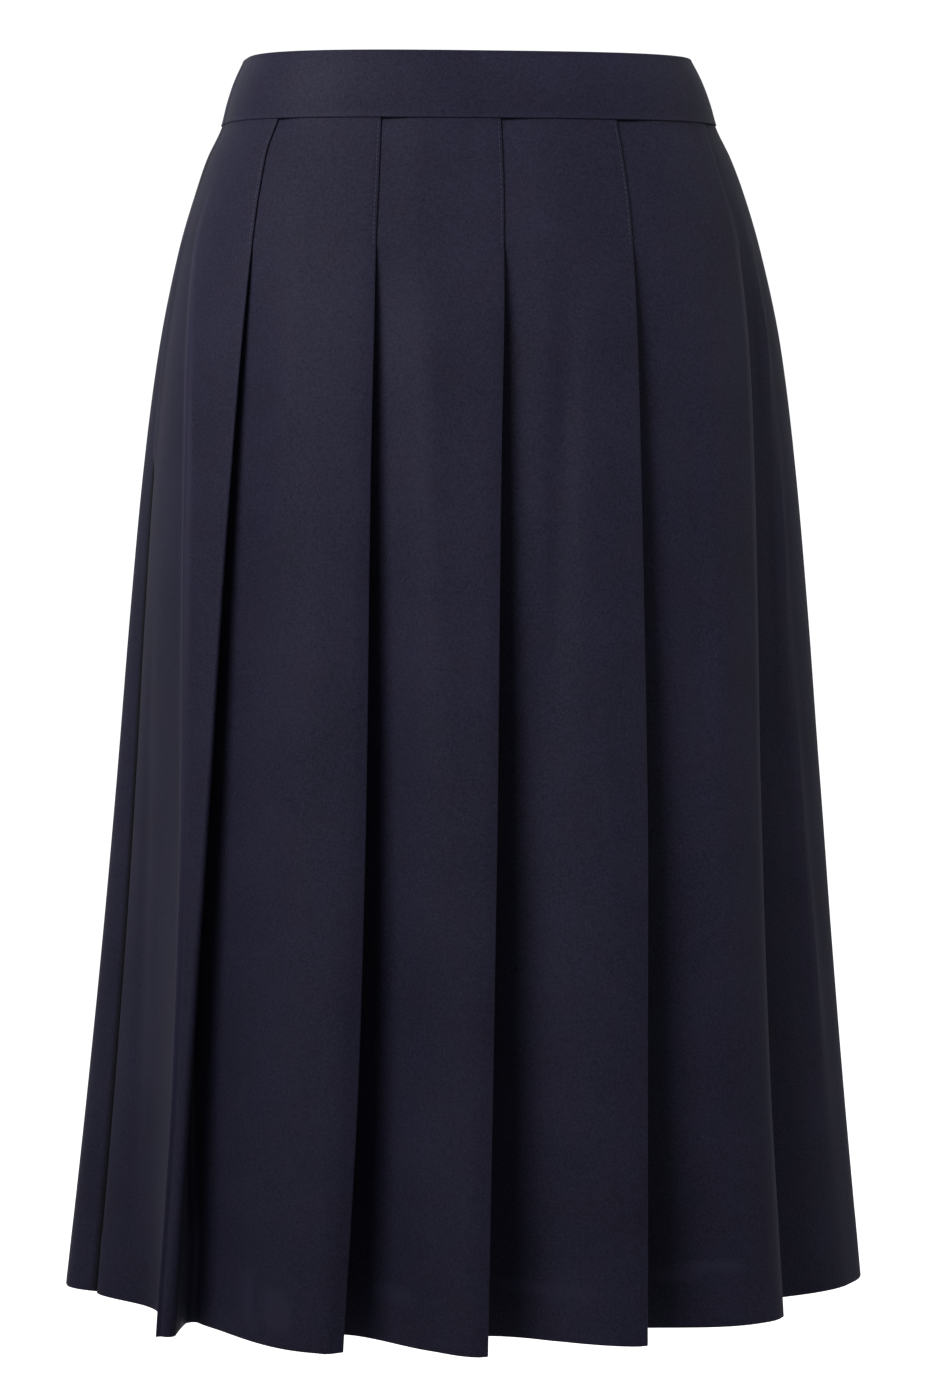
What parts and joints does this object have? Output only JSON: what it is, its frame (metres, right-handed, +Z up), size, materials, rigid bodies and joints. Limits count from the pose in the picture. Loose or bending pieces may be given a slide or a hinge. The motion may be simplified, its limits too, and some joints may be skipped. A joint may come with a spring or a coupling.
{
  "type": "pleated midi skirt",
  "caption": "Knee-covering skirt in knife pleats stitched flat over the hips, with a plain waistband and a lapped side opening.",
  "frame": {"origin": "middle of the waistband's height on the axis of the waist, where the wearer's waist holds the skirt up", "axes": "+Z up, -Y the front, -X the wearer's right side with the lapped opening"},
  "size_m": [0.4994, 0.3621, 0.759],
  "materials": {
    "cloth": "fine plain-weave suiting, soft sheen",
    "band_cloth": "fine plain-weave suiting, pressed firm",
    "fastener": "satin nickel"
  },
  "bodies": {
    "root": {"front_panel": "cloth", "back_panel": "cloth", "waistband": "band_cloth", "opening_strip": "cloth", "waist_hook": "fastener", "waist_bar": "fastener"}
  },
  "joints": []
}
